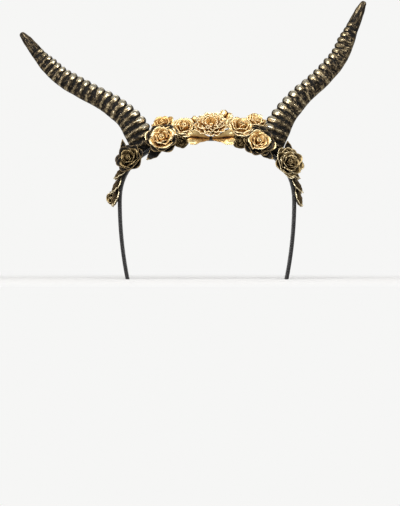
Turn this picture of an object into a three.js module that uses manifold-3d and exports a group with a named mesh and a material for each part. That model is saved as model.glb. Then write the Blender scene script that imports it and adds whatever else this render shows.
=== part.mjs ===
// A horned flower headband: a ribbon-covered hair band, two ribbed horns, and a garland of gold and black
// roses and leaves along the band. Millimetres, +Z up, front towards -Y. It stands on the two ends of its
// band, with the origin in the middle of its box, on the surface that it stands on.
import * as THREE from "three";
import { LoftGeometry } from "three/addons/geometries/LoftGeometry.js";
import { mergeVertices } from "three/addons/utils/BufferGeometryUtils.js";
import Module from "manifold-3d";

const wasm = await Module();
wasm.setup();

// Driving dimensions. The band's outer face is a squared half ellipse over two legs that bend in a little.
const GAP = 0.3; // between pieces that touch
const BAND = {
  height: 128,
  halfWidth: 80,
  crownRise: 58,
  squareness: 2.3,
  endInset: 7,
  crownDepth: 24,
  endDepth: 20,
  thickness: 3,
  edge: 0.8,
};
const HORN = {
  length: { left: 164.5, right: 168.8 },
  seatX: 54.7,
  seatZ: 109,
  depth: 0.94, // as a share of its width
  ribs: 21,
  ribsFrom: 0.058,
  ribsTo: 0.877,
  ribCrowding: 0.115, // how much closer they stand towards the tip
  ribSpread: 0.022, // and how much wider apart in the middle
  ribRise: 1.7,
  ribRound: 0.6, // below 1 its top is flatter and the grooves are narrower
  outerRib: 0.15, // as a share of the rib on the side that faces in
};
const STEM_RADIUS = 2.2;
const LEAF_WALL = 1.2;
const LEAF_CREASE = 0.12; // depth of the fold along the middle, as a share of the leaf's width

// How finely the pieces are cut into faces.
const LEG_STEPS = 5;
const CROWN_STEPS = 20;
const HORN_SIDES = 12;
const RIB_PHASES = [0, 0.35, 0.65]; // sections through one rib, from the groove before it
const TIP_SHARES = [0.92, 0.97, 1];
const ENVELOPE_SIDES = 12;

// The horns from seat to tip: share of the length, the heading of each horn above the horizontal in degrees,
// its width without ribs, and how far it leans back.
const HORN_SECTIONS = [
  { share: 0.0, left: 76, right: 75.5, width: 21.5, back: 0 },
  { share: 0.15, left: 62.5, right: 66, width: 22.5, back: 0 },
  { share: 0.3, left: 38.5, right: 51, width: 19, back: 2 },
  { share: 0.45, left: 27.5, right: 40.5, width: 16.7, back: 5 },
  { share: 0.6, left: 29.5, right: 49, width: 16.3, back: 8 },
  { share: 0.75, left: 44, right: 67.5, width: 14.6, back: 10 },
  { share: 0.88, left: 53, right: 66.5, width: 11.1, back: 11 },
  { share: 0.95, left: 50, right: 66, width: 9, back: 11 },
  { share: 1.0, left: 48, right: 63, width: 5.5, back: 11 },
];

// Flowers about their axis, with a row for each fold of the petals from the boss at the bottom over the lips
// to the heart: distance from the axis and height as shares of the flower's radius, the petals round that
// row, their turn in degrees, and how far the notches between them are cut back.
const FOLDS = {
  rose: [
    { reach: 0.3, height: 0, petals: 5, turn: 0, notch: 0 },
    { reach: 0.8, height: 0.2, petals: 5, turn: 0, notch: 0.08 },
    { reach: 1, height: 0.5, petals: 5, turn: 0, notch: 0.26 },
    { reach: 0.9, height: 0.56, petals: 5, turn: 0, notch: 0.24 },
    { reach: 0.6, height: 0.34, petals: 4, turn: 30, notch: 0 },
    { reach: 0.68, height: 0.76, petals: 4, turn: 30, notch: 0.2 },
    { reach: 0.58, height: 0.8, petals: 4, turn: 30, notch: 0.2 },
    { reach: 0.34, height: 0.56, petals: 3, turn: 0, notch: 0 },
    { reach: 0.36, height: 0.93, petals: 3, turn: 0, notch: 0.2 },
    { reach: 0.26, height: 0.96, petals: 3, turn: 0, notch: 0.2 },
    { reach: 0.12, height: 0.8, petals: 3, turn: 0, notch: 0 },
    { reach: 0.06, height: 0.86, petals: 3, turn: 0, notch: 0 },
  ],
  core: [
    { reach: 0.15, height: 0.19, petals: 4, turn: 20, notch: 0 },
    { reach: 0.46, height: 0.2, petals: 4, turn: 20, notch: 0 },
    { reach: 0.85, height: 0.5, petals: 4, turn: 20, notch: 0.08 },
    { reach: 1, height: 0.78, petals: 4, turn: 20, notch: 0.22 },
    { reach: 0.88, height: 0.84, petals: 4, turn: 20, notch: 0.22 },
    { reach: 0.5, height: 0.52, petals: 3, turn: 50, notch: 0 },
    { reach: 0.54, height: 0.96, petals: 3, turn: 50, notch: 0.2 },
    { reach: 0.42, height: 1, petals: 3, turn: 50, notch: 0.2 },
    { reach: 0.18, height: 0.74, petals: 3, turn: 50, notch: 0 },
    { reach: 0.08, height: 0.9, petals: 3, turn: 50, notch: 0 },
  ],
  cup: [
    { reach: 0.3, height: 0, petals: 5, turn: 10, notch: 0 },
    { reach: 0.8, height: 0.15, petals: 5, turn: 10, notch: 0.08 },
    { reach: 1, height: 0.38, petals: 5, turn: 10, notch: 0.26 },
    { reach: 0.92, height: 0.44, petals: 5, turn: 10, notch: 0.24 },
    { reach: 0.4, height: 0.11, petals: 5, turn: 10, notch: 0 },
    { reach: 0.1, height: 0.12, petals: 5, turn: 10, notch: 0 },
  ],
  bloom: [
    { reach: 0.25, height: 0, petals: 11, turn: 0, notch: 0 },
    { reach: 1, height: 0.3, petals: 11, turn: 0, notch: 0.14 },
    { reach: 0.94, height: 0.36, petals: 11, turn: 0, notch: 0.14 },
    { reach: 0.64, height: 0.26, petals: 9, turn: 12, notch: 0 },
    { reach: 0.76, height: 0.48, petals: 9, turn: 12, notch: 0.14 },
    { reach: 0.69, height: 0.52, petals: 9, turn: 12, notch: 0.14 },
    { reach: 0.4, height: 0.38, petals: 7, turn: 4, notch: 0 },
    { reach: 0.46, height: 0.6, petals: 7, turn: 4, notch: 0.16 },
    { reach: 0.38, height: 0.63, petals: 7, turn: 4, notch: 0.16 },
    { reach: 0.2, height: 0.48, petals: 7, turn: 4, notch: 0 },
    { reach: 0.1, height: 0.56, petals: 7, turn: 4, notch: 0 },
  ],
  bud: [
    { reach: 0.4, height: 0, petals: 3, turn: 0, notch: 0 },
    { reach: 0.95, height: 0.5, petals: 3, turn: 0, notch: 0.05 },
    { reach: 1, height: 1, petals: 3, turn: 0, notch: 0.2 },
    { reach: 0.8, height: 1.06, petals: 3, turn: 0, notch: 0.2 },
    { reach: 0.4, height: 0.8, petals: 3, turn: 0, notch: 0 },
    { reach: 0.2, height: 1.1, petals: 3, turn: 0, notch: 0 },
  ],
};
const FLOWER_SIDES = { rose: 15, core: 12, cup: 15, bloom: 33, bud: 12 };

// The flowers: place across the band's crown and along its depth, degrees that the flower nods forward from
// square to the band, stem and radius. One that sits in a cup of darker petals shows only its core.
const FLOWERS = [
  { name: "rose_left_front", x: -39, y: -10, nod: 64, stem: 2, radius: 10.8, cup: 14.4, paint: "gold" },
  { name: "rose_right_front", x: 45, y: -10, nod: 66, stem: 2, radius: 10, cup: 13.8, paint: "gold" },
  { name: "bloom_centre", x: 3.5, y: -6, nod: 48, stem: 9.5, radius: 14.8, kind: "bloom", paint: "gold" },
  { name: "rose_left_inner", x: -19.5, y: -2, nod: 50, stem: 9, radius: 11, kind: "rose", paint: "gold" },
  { name: "rose_right_inner", x: 27.5, y: -2.5, nod: 40, stem: 9, radius: 12.2, kind: "rose", paint: "gold" },
  { name: "rose_left_side", x: -67, y: -9, nod: 58, stem: 2, radius: 9, cup: 12.8, paint: "antique" },
  { name: "rose_right_side", x: 70.2, y: -9, nod: 55, stem: 2, radius: 9.4, cup: 14, paint: "antique" },
  { name: "rose_left_back", x: -35.5, y: 6, nod: 36, stem: 14, radius: 10.4, cup: 8.4, paint: "gold" },
  { name: "rose_right_back", x: 38, y: 9, nod: 30, stem: 18, radius: 9.6, cup: 7.8, paint: "gold" },
  { name: "bud_left", x: -23, y: -10, nod: 110, stem: 4, radius: 7, kind: "rose", paint: "antique" },
  { name: "bud_right", x: 30, y: -10, nod: 100, stem: 4, radius: 7.2, kind: "rose", paint: "antique" },
  { name: "bud_low", x: -79.97, y: 2, nod: 40, stem: 3, radius: 6, kind: "bud", paint: "antique" },
];

// Leaves that hang or stand at the band, broad ones round the middle flower and pointed ones: the foot of the
// stalk, the bearing of the tip from +X as seen from the front, its lean forward in degrees, and its size.
const FAN_LEAVES = [
  { name: "leaf_centre_low_left", foot: [2, -12.4, 126], bearing: 177, lean: 8, length: 19.5, width: 16.5 },
  { name: "leaf_centre_low_right", foot: [5, -12.4, 126], bearing: 3, lean: 8, length: 20, width: 16.5 },
  { name: "leaf_centre_top_left", foot: [-2, 2, 128.5], bearing: 125, lean: -8, length: 20, width: 12 },
  { name: "leaf_centre_top_right", foot: [7, 2, 128.5], bearing: 61, lean: -8, length: 24.5, width: 15 },
];
const POINTED_LEAVES = [
  { name: "leaf_left_front", foot: [-40, -12.4, 120], bearing: 224, lean: 6, length: 20, width: 10 },
  { name: "leaf_right_front", foot: [45, -12.4, 119], bearing: 320, lean: 6, length: 19, width: 9 },
  { name: "leaf_left_horn", foot: [-73.5, -1, 99], bearing: 95, lean: 0, length: 27, width: 9 },
  { name: "leaf_right_horn", foot: [75, 0, 98.5], bearing: 96, lean: 0, length: 26, width: 12 },
  { name: "leaf_left_inner", foot: [-3, 6, 130], bearing: 184, lean: 0, length: 30, width: 15 },
  { name: "leaf_right_inner", foot: [10, 6, 130], bearing: 355, lean: 0, length: 30, width: 15 },
];

// Pairs of leaves down each side of the band, one over its front edge and one over its back edge: how far out
// of the band and from its middle they start, their turn towards the edge, swing from straight along the band
// and rise in degrees, and the height of each pair.
const SIDE_LEAVES = { length: 18, width: 10, lift: 0.5, apart: 10.2, turn: 36, swing: 8, rise: 2 };
const SIDE_LEAF_HEIGHTS = [102, 92, 82];

// Leaves from stalk to tip: share of the length, width as a share of the widest, and how far it curls up.
const POINTED_LEAF = [
  { share: 0, width: 0.16, curl: 0 },
  { share: 0.28, width: 0.86, curl: 0.02 },
  { share: 0.55, width: 1, curl: 0.06 },
  { share: 0.82, width: 0.56, curl: 0.14 },
  { share: 1, width: 0.08, curl: 0.24 },
];
const FAN_LEAF = [
  { share: 0, width: 0.25, curl: 0 },
  { share: 0.35, width: 0.5, curl: 0.03 },
  { share: 0.7, width: 0.9, curl: 0.06 },
  { share: 0.9, width: 1, curl: 0.06 },
  { share: 1, width: 0.8, curl: 0.03 },
];

const PAINTS = {
  gold: { color: 0xd9b566, roughness: 0.35, metalness: 0.8 },
  antique: { color: 0x7d673c, roughness: 0.45, metalness: 0.7 },
  black: { color: 0x1b1815, roughness: 0.6, metalness: 0.1 },
  ribbon: { color: 0x131214, roughness: 0.5, metalness: 0 },
  horn: { color: 0x4a3d28, roughness: 0.4, metalness: 0.6 },
};

const { degToRad, lerp, smoothstep } = THREE.MathUtils;
const FRONT = new THREE.Vector3(0, -1, 0);
const UP = new THREE.Vector3(0, 0, 1);
const UNIT = new THREE.Vector3(1, 1, 1);
const CAPPED = { capStart: true, capEnd: true };

// A closed geometry as a solid that can be joined and cut.
function solid(geometry) {
  const bare = geometry.toNonIndexed();
  bare.deleteAttribute("normal");
  bare.deleteAttribute("uv");
  const merged = mergeVertices(bare, 1e-4);
  const corners = merged.index.array;
  const triVerts = [];
  for (let i = 0; i < corners.length; i += 3) {
    const [a, b, c] = corners.subarray(i, i + 3);
    if (a !== b && b !== c && c !== a) triVerts.push(a, b, c);
  }
  const vertProperties = merged.attributes.position.array;
  const mesh = new wasm.Mesh({ numProp: 3, vertProperties, triVerts: new Uint32Array(triVerts) });
  return new wasm.Manifold(mesh);
}

// A named mesh of a solid.
function meshOf(name, shape, paint) {
  const { vertProperties, triVerts } = shape.getMesh();
  const geometry = new THREE.BufferGeometry();
  geometry.setAttribute("position", new THREE.BufferAttribute(vertProperties, 3));
  geometry.setIndex(new THREE.BufferAttribute(triVerts, 1));
  geometry.computeVertexNormals();
  const mesh = new THREE.Mesh(geometry, new THREE.MeshStandardMaterial(PAINTS[paint]));
  mesh.name = name;
  return mesh;
}

// The value of a column at a share of the way through a table of sections, eased between its rows.
function column(rows, key, share) {
  const next = Math.max(1, rows.findIndex((row) => row.share >= share));
  const [from, to] = [rows[next - 1], rows[next]];
  return lerp(from[key], to[key], smoothstep(share, from.share, to.share));
}

// A place on the band's outer face, on the crown at x or on a side at height z: a point and the way out.
const EQUATOR = BAND.height - BAND.crownRise;

function crownAt(x) {
  const power = BAND.squareness;
  const across = Math.abs(x) / BAND.halfWidth;
  const rise = (1 - across ** power) ** (1 / power);
  const slopeX = (Math.sign(x) * across ** (power - 1)) / BAND.halfWidth;
  const slopeZ = rise ** (power - 1) / BAND.crownRise;
  return {
    point: new THREE.Vector3(x, 0, EQUATOR + BAND.crownRise * rise),
    out: new THREE.Vector3(slopeX, 0, slopeZ).normalize(),
  };
}

function sideAt(side, z) {
  if (z > EQUATOR) {
    const rise = (z - EQUATOR) / BAND.crownRise;
    return crownAt(side * BAND.halfWidth * (1 - rise ** BAND.squareness) ** (1 / BAND.squareness));
  }
  const drop = (EQUATOR - z) / EQUATOR;
  return {
    point: new THREE.Vector3(side * (BAND.halfWidth - BAND.endInset * drop ** 2), 0, z),
    out: new THREE.Vector3(side, 0, (-2 * BAND.endInset * drop) / EQUATOR).normalize(),
  };
}

// The band's section at a place on it: a flat strip with its edges eased, grown by a clearance.
function bandSection({ point, out }, clearance) {
  const half = lerp(BAND.endDepth, BAND.crownDepth, point.z / BAND.height) / 2 + clearance;
  const top = clearance;
  const bottom = -BAND.thickness - clearance;
  const { edge } = BAND;
  const corners = [
    [top, -half + edge],
    [top, half - edge],
    [top - edge, half],
    [bottom + edge, half],
    [bottom, half - edge],
    [bottom, -half + edge],
    [bottom + edge, -half],
    [top - edge, -half],
  ];
  return corners.map(([height, front]) => {
    const corner = point.clone().addScaledVector(out, height).addScaledVector(FRONT, front);
    if (point.z <= 0) corner.z = point.z; // the ends are cut level
    return corner;
  });
}

function band(clearance = 0) {
  const legHeights = Array.from({ length: LEG_STEPS }, (_, i) => lerp(-clearance, EQUATOR, i / LEG_STEPS));
  const crown = Array.from({ length: CROWN_STEPS + 1 }, (_, i) => {
    const cosine = Math.cos(Math.PI * (1 - i / CROWN_STEPS));
    return crownAt(BAND.halfWidth * Math.sign(cosine) * Math.abs(cosine) ** (2 / BAND.squareness));
  });
  const left = legHeights.map((z) => sideAt(-1, z));
  const right = legHeights.toReversed().map((z) => sideAt(1, z));
  const sections = [...left, ...crown, ...right].map((place) => bandSection(place, clearance));
  return solid(new LoftGeometry(sections, CAPPED));
}

// The share of the horn's length at a count of ribs from the first one.
function ribShare(count) {
  const part = count / HORN.ribs;
  const crowded = part + HORN.ribCrowding * part * (1 - part) - HORN.ribSpread * Math.sin(2 * Math.PI * part);
  return lerp(HORN.ribsFrom, HORN.ribsTo, crowded);
}

// Sections along a horn: the share of its length, and how far up a rib it is. There are grooves between ribs.
function hornSections() {
  const ribs = Array.from({ length: HORN.ribs }, (_, rib) =>
    RIB_PHASES.map((phase) => ({
      share: ribShare(rib + phase),
      ring: Math.sin(Math.PI * phase) ** HORN.ribRound,
    })),
  );
  const plain = (share) => ({ share, ring: 0 });
  return [plain(0), ...ribs.flat(), ...[HORN.ribsTo, ...TIP_SHARES].map(plain)];
}

// A horn: rings of points along a curve that follows the table's headings from the seat on the band.
function horn(side, key, clearance = 0) {
  const centre = new THREE.Vector3(side * HORN.seatX, 0, HORN.seatZ);
  let before = 0;
  const rings = hornSections().map(({ share, ring }) => {
    const heading = degToRad(column(HORN_SECTIONS, key, (share + before) / 2));
    const along = new THREE.Vector3(side * Math.cos(heading), 0, Math.sin(heading));
    const inward = new THREE.Vector3(-along.z * side, 0, along.x * side);
    const sideways = new THREE.Vector3().crossVectors(along, inward);
    centre.addScaledVector(along, (share - before) * HORN.length[key]);
    centre.y = column(HORN_SECTIONS, "back", share);
    before = share;
    const width = column(HORN_SECTIONS, "width", share);
    const rise = (ring * HORN.ribRise * width) / HORN_SECTIONS[0].width;
    return Array.from({ length: HORN_SIDES }, (_, i) => {
      const angle = (2 * Math.PI * i) / HORN_SIDES;
      const facing = Math.cos(angle);
      const rib = rise * lerp(HORN.outerRib, 1, (1 + facing) / 2); // highest on the side facing in
      const radius = width / 2 + rib + clearance;
      return centre
        .clone()
        .addScaledVector(inward, radius * facing)
        .addScaledVector(sideways, radius * HORN.depth * Math.sin(angle));
    });
  });
  return solid(new LoftGeometry(rings, CAPPED));
}

// A flower about +Z: one skin folded up and down through its rows, on a stem if it stands on the band.
function flower(kind, radius, stem) {
  const rows = FOLDS[kind].map((row) => ({ ...row, reach: row.reach * radius, height: row.height * radius }));
  const round = { petals: 1, turn: 0, notch: 0, reach: STEM_RADIUS };
  if (stem > 0) rows.unshift({ ...round, height: -stem }, { ...round, height: -STEM_RADIUS / 2 });
  const sides = FLOWER_SIDES[kind];
  const sections = rows.map(({ reach, height, petals, turn, notch }) =>
    Array.from({ length: sides }, (_, i) => {
      const angle = (2 * Math.PI * i) / sides;
      const cut = notch * (1 - Math.abs(Math.cos((petals / 2) * (angle - degToRad(turn)))));
      const distance = reach * (1 - cut);
      return new THREE.Vector3(distance * Math.cos(angle), distance * Math.sin(angle), height * (1 - cut));
    }),
  );
  return solid(new LoftGeometry(sections, CAPPED));
}

// The space that a flower and its stem take, grown by a clearance, for its neighbours to stay out of.
function envelope(kind, radius, stem, clearance) {
  const rows = FOLDS[kind];
  const lip = rows.findIndex((row) => row.reach === 1);
  const crest = rows.reduce((best, row) => (row.height > best.height ? row : best));
  const grown = 1 / Math.cos(Math.PI / ENVELOPE_SIDES);
  const corner = (reach, height) => new THREE.Vector2((reach + clearance) * grown, height);
  const fold = (row, lift) => corner(row.reach * radius, row.height * radius + lift);
  const root = [-stem, -STEM_RADIUS / 2 - 2 * clearance].map((height) => corner(STEM_RADIUS, height));
  const under = rows.slice(0, lip + 1).map((row) => fold(row, -clearance));
  const over = [rows[lip], rows[lip + 1], crest].map((row) => fold(row, clearance));
  const [bottom, top] = [-stem, over.at(-1).y].map((height) => new THREE.Vector2(0, height));
  const profile = [bottom, ...root, ...under, ...over, top];
  return solid(new THREE.LatheGeometry(profile, ENVELOPE_SIDES).rotateX(Math.PI / 2));
}

// A leaf along +X with its face up: a wall creased along its middle.
function leaf(outline, length, width) {
  const sections = outline.map((section) => {
    const half = (width * section.width) / 2;
    const fold = LEAF_CREASE * width * section.width;
    const height = section.curl * length;
    const point = (across, face) =>
      new THREE.Vector3(
        section.share * length,
        across * half,
        height + Math.abs(across) * fold + face * LEAF_WALL,
      );
    return [point(-1, 0), point(0, 0), point(1, 0), point(1, 1), point(0, 1), point(-1, 1)];
  });
  return solid(new LoftGeometry(sections, CAPPED));
}

const model = new THREE.Group();
const taken = [band(GAP), horn(-1, "left", GAP), horn(1, "right", GAP)];

// Puts a shape where a matrix says, cut clear of the spaces that are already taken.
function place(name, shape, matrix, paint, spaces) {
  const back = matrix.clone().invert().elements;
  const cut = spaces.reduce((rest, space) => rest.subtract(space.transform(back)), shape);
  const [largest] = cut.decompose().sort((a, b) => b.volume() - a.volume());
  const mesh = meshOf(name, largest, paint);
  matrix.decompose(mesh.position, mesh.quaternion, mesh.scale);
  model.add(mesh);
}

model.add(meshOf("band", band(), "ribbon"));
place("horn_left", horn(-1, "left"), new THREE.Matrix4(), "horn", [taken[0]]);
place("horn_right", horn(1, "right"), new THREE.Matrix4(), "horn", [taken[0]]);

FLOWERS.forEach(({ name, x, y, nod, stem, radius, cup, kind = "core", paint }) => {
  const { point, out } = crownAt(x);
  const axis = out.clone().multiplyScalar(Math.cos(degToRad(nod)));
  axis.addScaledVector(FRONT, Math.sin(degToRad(nod)));
  const position = point.clone().addScaledVector(axis, stem).addScaledVector(FRONT, -y);
  const turn = new THREE.Quaternion().setFromUnitVectors(UP, axis);
  const matrix = new THREE.Matrix4().compose(position, turn, UNIT);
  const root = stem + 2 * STEM_RADIUS; // reaches into the band before it is cut clear of it
  const neighbours = [...taken];
  if (cup) {
    const cupPaint = name === "rose_right_side" ? "antique" : "black";
    place(name.replace("rose", "cup"), flower("cup", cup, root), matrix, cupPaint, neighbours);
    taken.push(envelope("cup", cup, root, GAP).transform(matrix.elements));
  }
  place(name, flower(kind, radius, cup ? 0 : root), matrix, paint, neighbours);
  taken.push(envelope(kind, radius, root, GAP).transform(matrix.elements));
});

// A leaf laid along a direction with its face towards another, cut clear of the band, horns and flowers.
function layLeaf({ name, length, width }, outline, foot, tip, face, paint) {
  const across = new THREE.Vector3().crossVectors(face, tip).normalize();
  const normal = new THREE.Vector3().crossVectors(tip, across);
  const matrix = new THREE.Matrix4().makeBasis(tip, across, normal).setPosition(foot);
  place(name, leaf(outline, length, width), matrix, paint, taken);
}

function layFrontLeaf(row, outline, paint) {
  const [bearing, lean] = [degToRad(row.bearing), degToRad(row.lean)];
  const tip = new THREE.Vector3(Math.cos(bearing), 0, Math.sin(bearing)).multiplyScalar(Math.cos(lean));
  tip.addScaledVector(FRONT, Math.sin(lean));
  layLeaf(row, outline, new THREE.Vector3(...row.foot), tip, FRONT, paint);
}

function laySideLeaf(side, forward, level) {
  const { point, out } = sideAt(side, SIDE_LEAF_HEIGHTS[level]);
  const [turn, swing, rise] = ["turn", "swing", "rise"].map((key) => degToRad(SIDE_LEAVES[key]));
  const edge = FRONT.clone().multiplyScalar(forward);
  const face = out.clone().multiplyScalar(Math.cos(turn)).addScaledVector(edge, Math.sin(turn));
  const across = edge.clone().multiplyScalar(Math.cos(turn)).addScaledVector(out, -Math.sin(turn));
  const tip = new THREE.Vector3(out.z * side, 0, -out.x * side).multiplyScalar(Math.cos(swing));
  tip.addScaledVector(across, Math.sin(swing)).multiplyScalar(Math.cos(rise));
  tip.addScaledVector(face, Math.sin(rise));
  const foot = point.clone().addScaledVector(out, SIDE_LEAVES.lift).addScaledVector(edge, SIDE_LEAVES.apart);
  const name = `leaf_${side < 0 ? "left" : "right"}_${forward > 0 ? "fore" : "aft"}_${level + 1}`;
  layLeaf({ ...SIDE_LEAVES, name }, POINTED_LEAF, foot, tip, face, "antique");
}

FAN_LEAVES.forEach((row) => layFrontLeaf(row, FAN_LEAF, "gold"));
POINTED_LEAVES.forEach((row) => layFrontLeaf(row, POINTED_LEAF, "black"));
for (const side of [-1, 1]) {
  for (const level of SIDE_LEAF_HEIGHTS.keys()) {
    laySideLeaf(side, 1, level);
    laySideLeaf(side, -1, level);
  }
}

const box = new THREE.Box3().setFromObject(model, true);
const middle = box.getCenter(new THREE.Vector3());
model.position.set(-middle.x, -middle.y, -box.min.z);

export default model;
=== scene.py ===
import math
import random

import bmesh
import bpy
from mathutils import Matrix, Vector


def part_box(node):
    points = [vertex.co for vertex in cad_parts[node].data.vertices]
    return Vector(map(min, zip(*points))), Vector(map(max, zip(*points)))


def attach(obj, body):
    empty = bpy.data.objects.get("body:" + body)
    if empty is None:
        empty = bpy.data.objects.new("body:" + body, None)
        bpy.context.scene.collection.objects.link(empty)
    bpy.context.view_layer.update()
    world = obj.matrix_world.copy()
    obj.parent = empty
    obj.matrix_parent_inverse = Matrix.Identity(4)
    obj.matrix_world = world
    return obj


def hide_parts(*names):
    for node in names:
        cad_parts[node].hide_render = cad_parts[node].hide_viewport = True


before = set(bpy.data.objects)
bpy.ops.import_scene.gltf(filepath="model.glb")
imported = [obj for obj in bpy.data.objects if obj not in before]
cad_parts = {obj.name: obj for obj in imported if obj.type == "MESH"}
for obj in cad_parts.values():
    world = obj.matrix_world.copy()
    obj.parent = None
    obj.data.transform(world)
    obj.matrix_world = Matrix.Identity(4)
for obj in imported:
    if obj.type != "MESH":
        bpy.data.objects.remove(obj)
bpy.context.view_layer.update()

# A horned flower headband: a ribbon-covered hair band, two ribbed horns and a garland of painted flowers and
# leaves. Sizes are in millimetres in the tables and metres in the scene, +Z up, front towards -Y. Pieces are
# modelled about the middle of the band and then moved to where the frame has it.
MM = 0.001
low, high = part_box("band")
MIDDLE = Vector(((low.x + high.x) / 2, (low.y + high.y) / 2, 0))
FRONT = Vector((0, -1, 0))
UP = Vector((0, 0, 1))

# The band: its outer face is a squared half ellipse over two legs that bend in a little.
BAND_HEIGHT, BAND_HALF_WIDTH, CROWN_RISE, SQUARENESS, END_INSET = 128, 80, 58, 2.3, 7
CROWN_DEPTH, END_DEPTH, BAND_THICKNESS, BAND_EDGE = 24, 20, 3, 0.8
EQUATOR = BAND_HEIGHT - CROWN_RISE

# The horns from seat to tip: share of the length, the heading of the left and the right horn above the
# horizontal in degrees, width without ribs, and how far the horn leans back.
HORN_SECTIONS = (
    (0.0, 76, 75.5, 21.5, 0),
    (0.15, 62.5, 66, 22.5, 0),
    (0.3, 38.5, 51, 19, 2),
    (0.45, 27.5, 40.5, 16.7, 5),
    (0.6, 29.5, 49, 16.3, 8),
    (0.75, 44, 67.5, 14.6, 10),
    (0.88, 53, 66.5, 11.1, 11),
    (0.95, 50, 66, 9, 11),
    (1.0, 48, 63, 5.5, 11),
)
LEFT_HEADING, RIGHT_HEADING, WIDTH, LEAN = 1, 2, 3, 4
HORN_LENGTH = {"left": 164.5, "right": 168.8}
# The mottle also takes gold off the inner ribs of the right horn: partly its worn paint, partly painted
# shade.
HORN_MOTTLE = {"left": 0.15, "right": 0.8}  # how far the gold is broken into flecks
HORN_SEAT = (54.7, 109)  # distance from the middle, and height
HORN_DEPTH = 0.94  # as a share of its width
HORN_SIDES, HORN_STEPS, HORN_SPARE = 28, 110, 4  # points round it, steps of its curve, length past its tip
WIDEST_HALF = max(row[WIDTH] for row in HORN_SECTIONS) / 2
RIBS, RIBS_FROM, RIBS_TO, RIB_RISE = 21, 0.058, 0.877, 2.4
RIB_CROWDING, RIB_SPREAD = 0.115, 0.022  # closer together towards the tip, wider apart in the middle
RIB_FADE, RIB_FADE_FROM = 0.7, 0.76  # how much lower the last ribs are, and from which share of the length
# One rib along the horn: phase, rise on the side that faces in, and rise across the front and back.
RIB_PROFILE = (
    (0.0, 0.0, 0.0),
    (0.1, 0.45, 0.0),
    (0.26, 0.85, 0.05),
    (0.38, 1.0, 0.3),
    (0.5, 1.05, 0.75),
    (0.62, 1.0, 0.3),
    (0.74, 0.85, 0.05),
    (0.9, 0.45, 0.0),
)
TIP_SHARES = (RIBS_TO, 0.9, 0.92, 0.94, 0.96, 0.98, 1.0)
TIP_ROUNDING = ((1.1, 0.8), (1.8, 0.45))  # rise past the tip, and size as a share of the tip's
# Unevenness of the surfaces: its size, and how far it goes in and out.
HORN_UNEVEN, PETALS_UNEVEN, BLOOM_UNEVEN, LEAF_UNEVEN = (5, 0.5), (6, 1.2), (6, 0.8), (8, 1.2)

# Petals in section from the base to the lip: distance from the flower's axis and height, with the lip at 1.
PETALS = {
    "broad": (
        (0.1, 0.0),
        (0.36, 0.05),
        (0.6, 0.22),
        (0.74, 0.48),
        (0.82, 0.74),
        (0.9, 0.93),
        (1.0, 1.0),
        (1.06, 0.94),
    ),
    "sepal": ((0.1, 0.0), (0.42, 0.06), (0.7, 0.26), (0.86, 0.56), (0.95, 0.86), (1.02, 1.0), (1.07, 0.96)),
    "narrow": ((0.12, 0.0), (0.36, 0.22), (0.58, 0.44), (0.78, 0.66), (0.92, 0.86), (1.0, 1.0), (1.05, 1.04)),
    "wrap": ((0.16, 0.0), (0.6, 0.12), (0.9, 0.42), (0.97, 0.72), (0.96, 0.92), (1.0, 1.02), (1.07, 1.0)),
}
PETAL_SPAN = {"broad": 98, "sepal": 92, "narrow": 31, "wrap": 150}
PETAL_STEPS = {"broad": 10, "sepal": 10, "narrow": 6, "wrap": 12}
# Pulls on the lip, as shares of the radius: the corners inwards and down, the middle outwards, one side edge
# outwards so that petals lap over each other, and both side edges up to make a trough.
PETAL_PULLS = {
    "broad": (0.1, 0.42, 0.07, 0.1, 0.0),
    "sepal": (0.22, 0.3, 0.1, 0.06, 0.0),
    "narrow": (0.14, 0.06, 0.05, 0.05, 0.08),
    "wrap": (0.05, 0.3, 0.05, 0.14, 0.0),
}
# Rows of petals in a flower: petal, how many, turn in degrees, and reach and height as shares of its radius.
FLOWER_ROWS = {
    "rose": (
        ("broad", 5, 0, 0.98, 0.5),
        ("broad", 5, 38, 0.82, 0.66),
        ("broad", 4, 10, 0.62, 0.82),
        ("broad", 3, 60, 0.42, 0.95),
    ),
    "core": (
        ("broad", 4, 20, 0.97, 0.8),
        ("broad", 4, 66, 0.72, 0.92),
        ("broad", 3, 50, 0.48, 1.0),
    ),
    "cup": (("sepal", 5, 10, 0.98, 0.4), ("sepal", 5, 44, 0.9, 0.52)),
    "bloom": (
        ("narrow", 16, 0, 0.98, 0.42),
        ("narrow", 15, 11, 0.8, 0.54),
        ("narrow", 13, 0, 0.62, 0.62),
        ("narrow", 10, 20, 0.43, 0.66),
    ),
    "bud": (("wrap", 3, 0, 0.94, 1.02), ("wrap", 3, 60, 0.6, 1.1)),
}
# Single petals that hang out of a flower: petal, turn, reach and height.
STRAY_PETALS = {
    "rose_left_front": ("sepal", 158, 1.42, 0.5),
    "rose_right_front": ("sepal", -8, 1.4, 0.42),
    "rose_right_side": ("sepal", -58, 1.5, 0.5),
}
# How much lower the lip value is on some flowers, so that the painted shade of the folds reaches further
# up their petals and they come out darker all over.
FOLD_SHADE_SHIFTS = {"rose_left_side": 0.1, "rose_left_back": 0.16, "bud_left": 0.2, "bud_right": 0.2}
HEARTS = {"rose": 0.26, "core": 0.3, "bloom": 0.13, "bud": 0.3}  # radius of the rolled heart
# How far petals of a row differ from each other: in turn and tilt, in degrees, and in size.
TURNS, TILTS, GROWTHS = (-7, 7), (-6, 4), (0.93, 1.03)
PETAL_WALL = 0.7
STEM_RADIUS, STEM_SIDES = 2.2, 14
BOSS_REACH = 0.3  # radius of the boss under the petals, as a share of the flower's
CUP_SEEDS = 50  # from the seed of a flower to the seed of its cup

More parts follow.
